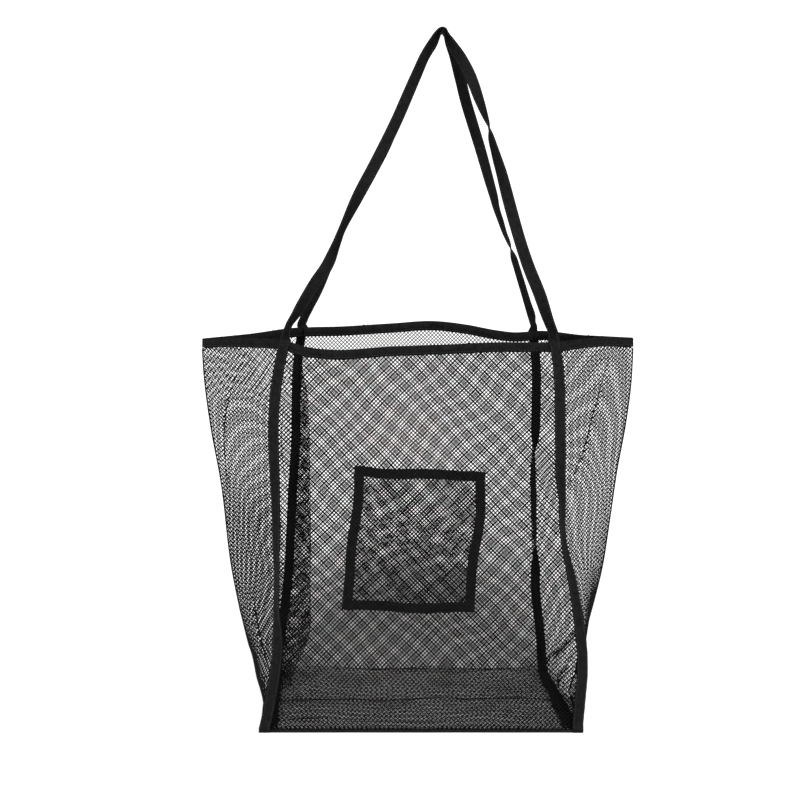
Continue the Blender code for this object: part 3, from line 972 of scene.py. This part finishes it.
def inside_outline(x, y, outline):
    """Even-odd test of places against a closed outline."""
    hit = np.zeros(len(x), bool)
    for (x1, y1), (x2, y2) in zip(outline, np.roll(outline, -1, axis=0)):
        crosses = (y1 > y) != (y2 > y)
        slope = (x2 - x1) / (y2 - y1) if y2 != y1 else 0.0
        hit ^= crosses & (x < x1 + (y - y1) * slope)
    return hit


def base_height(x, y):
    """The base cloth lies on its straps and crumples a little between them."""
    fold = 1.3 * np.sin(x * 38 + y * 25 + 0.5) + np.sin(x * 71 - y * 60) + 0.8 * np.sin(y * 110 + x * 14)
    edge = clamp((BASE_HALF_DEPTH - np.abs(y)) / 0.012) * clamp((0.15 - np.abs(x)) / 0.02)
    return (2.3 + (fold * 0.5 + 1.5) * edge) * MM


# Where the base's seam lies, in front of the middle where below 0: (x in m, place in mm).
BASE_SEAM = ((-0.16, -16), (-0.08, -13), (0.05, -11), (0.16, -10))
# A wrinkle across each half of the base: its two ends in x and its place in y, in metres.
BASE_WRINKLE = {"front": (-0.14, -0.10, -0.055), "back": (-0.036, 0.07, 0.0585)}
# The flat cloth that the base's net is laid out on, and the level at which the walls meet it.
BASE_CLOTH = ((-0.19, -0.08), (0.19, 0.08))
BASE_LEVEL = 2.8 * MM
# The corner seams' ends, and how far inside the straps they lie at the base's front and back edges.
CORNER_SEAM_ENDS = (-0.069, 0.066)
CORNER_SEAM_INSET = (8.5 * MM, 4.0 * MM)


def base_seam_line(x):
    return smooth(BASE_SEAM)(x) * MM


def above_base(x, y, lift=0.0):
    return np.stack([x, y, base_height(x, y) + lift], -1)


def base_surface(x, y):
    return above_base(x, y), np.broadcast_to(UP, (len(x), 3))


def base_outlines(walls):
    """Two closed outlines on the floor: the walls' lower edge, and the quadrilateral of the strap feet."""
    edge = []
    feet = []
    for wall in walls.values():
        left, right = (wall.outline(hand, BASE_LEVEL) * (side, wall.side) for hand, side in HANDS.items())
        edge.append(np.vstack([left[::-1], right])[::-wall.side])
        feet += [left[FACE_POINTS - 1], right[FACE_POINTS - 1]][::-wall.side]
    return np.vstack(edge), np.array(feet)


def make_base_nets(walls, material):
    outlines = base_outlines(walls)
    places, strands = lattice(*BASE_CLOTH)
    for face, wall in walls.items():
        def ours(x, y):
            inside = inside_outline(x, y, outlines[0]) | inside_outline(x, y, outlines[1])
            return inside & ((y - base_seam_line(x)) * wall.side > 0)
        chosen = strands_where(places, strands, ours)
        node = f"{face}_base"
        start, end, y = BASE_WRINKLE[face]
        x = np.linspace(start, end, 60)
        wrinkle = bunched_cord(*base_surface(x, y + 0.7 * MM * np.sin(x * 60)))
        mesh = net_mesh(f"{node}_net", base_surface, places, chosen, extra=[wrinkle])
        make_net(f"{node}_net", node, mesh, material)


def make_seams(walls, materials):
    """Narrow sewn ridges: round the foot, along the base's middle, along its two ends and up both sides."""
    make_foot_seams(walls, materials)
    x = np.linspace(-BASE_HALF_WIDTH + 8 * MM, BASE_HALF_WIDTH - 8 * MM, 90)
    y = base_seam_line(x) + 0.4 * MM * np.sin(x * 90)
    add_seam("base_seam", above_base(x, y, 0.7 * MM), UP, 1.4 * MM, 0.8 * MM, materials)
    for hand, side in HANDS.items():
        y = np.linspace(*CORNER_SEAM_ENDS, 60)
        edges = (-BASE_HALF_DEPTH, BASE_HALF_DEPTH)
        strap = np.interp(y, edges, [wall.straps[hand](0.0) for wall in walls.values()])
        x = side * (strap - np.interp(y, edges, CORNER_SEAM_INSET) + 0.8 * MM * np.sin(y * 120 + side))
        points = above_base(x, y, 0.9 * MM)
        add_seam(f"{hand}_corner_seam", points, UP, CORNER_SEAM_WIDTH, 0.9 * MM, materials)
        heights = np.linspace(4 * MM, TIP_HEIGHT - BINDING_HEIGHT["front"] + 1 * MM, 150)
        reach = walls["front"].sides[hand](heights)
        points = np.stack([side * (reach - 0.2 * MM), np.zeros(150), heights], -1)
        add_seam(f"{hand}_side_seam", points, RIGHT, SIDE_SEAM_WIDTH, 1.2 * MM, materials)


def make_foot_seams(walls, materials):
    """The rolled edge where each wall turns under into the base."""
    for face, wall in walls.items():
        section = section_of_tape(FOOT_ROLL[face], FOOT_ROLL[face])
        across = np.linspace(-wall.end("left", 1.5 * MM), wall.end("right", 1.5 * MM), 320)
        heights = 1.7 * MM + (0.0 if face == "front" else 1.3 * MM) * (1 + np.sin(across * 47 + 0.8))
        outward = unit(wall.normal(across, heights) * np.array([1, 1, 0]))
        points = wall.at(across, heights) + outward * FOOT_REACH[face]
        item = tape_object(f"{face}_foot_seam", path_along(points, outward), section, [], materials)
        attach(item, "bag")


def add_seam(node, points, normal, width, depth, materials):
    section = section_of_tape(width, depth)
    add_tape(f"{node}_ridge", node, "seam_tape", path_along(points, normal), section, [], materials)


# ---- Pocket ----

# Outer corners of the pocket on the back panel: (x, height) in metres.
POCKET_CORNERS = {"head": ((-0.0751, 0.246), (0.083, 0.2388)), "foot": ((-0.0907, 0.0723), (0.0687, 0.0687))}
POCKET_LIFT = 1.9 * MM
POCKET_GAPE = 8.0 * MM
POCKET_THREAD = 0.72 * MM


class Pocket:
    """The patch pocket's surface on the back wall, by shares across and up."""

    def __init__(self, wall):
        self.wall = wall

    def at(self, across, up, lift=0.0):
        across, up = np.broadcast_arrays(np.asarray(across, float), np.asarray(up, float))
        foot = np.array(POCKET_CORNERS["foot"])
        head = np.array(POCKET_CORNERS["head"])
        low = foot[0] + (foot[1] - foot[0]) * across[..., None]
        high = head[0] + (head[1] - head[0]) * across[..., None]
        place = low + (high - low) * up[..., None]
        place = place + 0.8 * MM * np.sin(np.stack([up * 9 + across * 2, across * 8 + up * 3], -1))
        place[..., 0] += 2.8 * MM * np.exp(-((up - 0.68) / 0.2) ** 2)
        back = self.wall.at(place[..., 0], place[..., 1])
        inside = clamp((np.minimum(np.minimum(across, 1 - across), up) - 0.076) / 0.14)
        mouth = clamp(up) ** 3
        away = POCKET_LIFT + POCKET_GAPE * inside * inside * (3 - 2 * inside) * (0.25 + 0.75 * mouth) + lift
        back[..., 1] -= away
        return back

    def normal(self, across, up):
        step = 0.01
        right = self.at(across + step, up) - self.at(across - step, up)
        rise = self.at(across, up + step) - self.at(across, up - step)
        return unit(np.cross(right, rise))


def make_pocket(wall, net, materials):
    pocket = Pocket(wall)
    width = POCKET_CORNERS["head"][1][0] - POCKET_CORNERS["head"][0][0]
    height = POCKET_CORNERS["head"][0][1] - POCKET_CORNERS["foot"][0][1]
    margin = POCKET_TAPE_WIDTH / 2

    def within_tapes(u, v):
        return (u > margin) & (u < width - margin) & (v > margin) & (v < height - margin)

    def surface(u, v):
        return pocket.at(u / width, v / height), pocket.normal(u / width, v / height)
    places, strands = lattice((0, 0), (width, height))
    chosen = strands_where(places, strands, within_tapes)
    mesh = net_mesh("pocket_net", surface, places, chosen, POCKET_THREAD)
    make_net("pocket_net", "pocket_mesh", mesh, net)
    make_pocket_tapes(pocket, margin / width, margin / height, materials)


def make_pocket_tapes(pocket, edge, band, materials):
    """Tapes round the pocket; edge and band are their middle lines' shares of its width and height."""
    section = section_of_tape(POCKET_TAPE_WIDTH, POCKET_TAPE_DEPTH)
    along = np.linspace(0, 1, 80)
    inner = np.linspace(2 * edge - 0.004, 1 - 2 * edge + 0.004, 80)
    lines = {"left": (edge, along), "right": (1 - edge, along),
             "top": (inner, 1 - band), "bottom": (inner, band)}
    for hand, (across, up) in lines.items():
        path = path_along(pocket.at(across, up), pocket.normal(across, up))
        rows = edge_rows(path, POCKET_TAPE_WIDTH, POCKET_TAPE_DEPTH)
        node = f"pocket_{hand}_tape"
        add_tape(f"pocket_{hand}_band", node, "pocket_tape", path, section, rows, materials)


# ---- Studio ----

def make_camera():
    data = bpy.data.cameras.new("camera")
    data.lens = LENS_MM
    data.sensor_width = SENSOR_MM
    data.shift_y = VIEW_SHIFT
    data.clip_start = 0.02
    camera = add_to_scene("camera", data)
    camera.location = (VIEW_LEFT, -BASE_HALF_DEPTH - VIEW_DISTANCE, VIEW_HEIGHT)
    camera.rotation_euler = (math.pi / 2, 0, 0)
    bpy.context.scene.camera = camera


def make_stage(material):
    """A pale floor that runs on to the horizon, where it meets an equally pale sky."""
    reach = 150.0
    points = np.array([(-reach, -reach, 0), (reach, -reach, 0), (reach, reach, 0), (-reach, reach, 0)])
    points[:, 2] -= 0.1 * MM
    floor = quad_mesh("studio_floor", points, np.array([[0, 1, 2, 3]]))
    add_object("studio_floor", floor, material)


def make_light():
    """A broad soft key in front, which throws the tote's shadow straight behind it, and an even fill."""
    world = bpy.data.worlds.new("world")
    world.use_nodes = True
    tree = world.node_tree
    path = add_node(tree, "LightPath", {})
    strength = add_node(tree, "MapRange", {"To Min": FILL, "To Max": BACKGROUND})
    tree.links.new(path.outputs["Is Camera Ray"], strength.inputs["Value"])
    tree.links.new(strength.outputs["Result"], tree.nodes["Background"].inputs["Strength"])
    tree.nodes["Background"].inputs["Color"].default_value = (1, 1, 1, 1)
    bpy.context.scene.world = world
    data = bpy.data.lights.new("key", "SUN")
    data.angle = math.radians(KEY_SOFTNESS)
    data.energy = KEY_POWER
    light = add_to_scene("key", data)
    light.rotation_euler = (math.radians(90 - KEY_ELEVATION), 0, 0)
    bpy.context.scene.view_settings.view_transform = "Standard"


# Each tape's name, rib spacing in mm, darkest and lightest colour, and roughness.
TAPE_LOOKS = (
    ("webbing", 1.3, (0.0009, 0.0009, 0.0010), (0.0041, 0.0041, 0.0044), 0.6),
    ("binding", 1.1, (0.0012, 0.0012, 0.0013), (0.0054, 0.0054, 0.0058), 0.66),
    ("edging", 1.1, (0.0050, 0.0050, 0.0053), (0.0130, 0.0130, 0.0135), 0.66),
)


def main():
    make_camera()
    make_stage(stage_material())
    make_light()
    net = thread_material()
    stitch = stitch_material()
    webbing, binding, edging = ((tape_material(*look), stitch) for look in TAPE_LOOKS)
    walls = {face: Wall(face) for face in FACES}
    for wall in walls.values():
        make_wall_nets(wall, net)
    make_base_nets(walls, net)
    make_seams(walls, binding)
    make_rim_bindings(walls, binding)
    make_straps(walls, webbing)
    make_base_straps(walls, webbing)
    make_handles(walls, webbing)
    make_pocket(walls["back"], net, edging)


main()
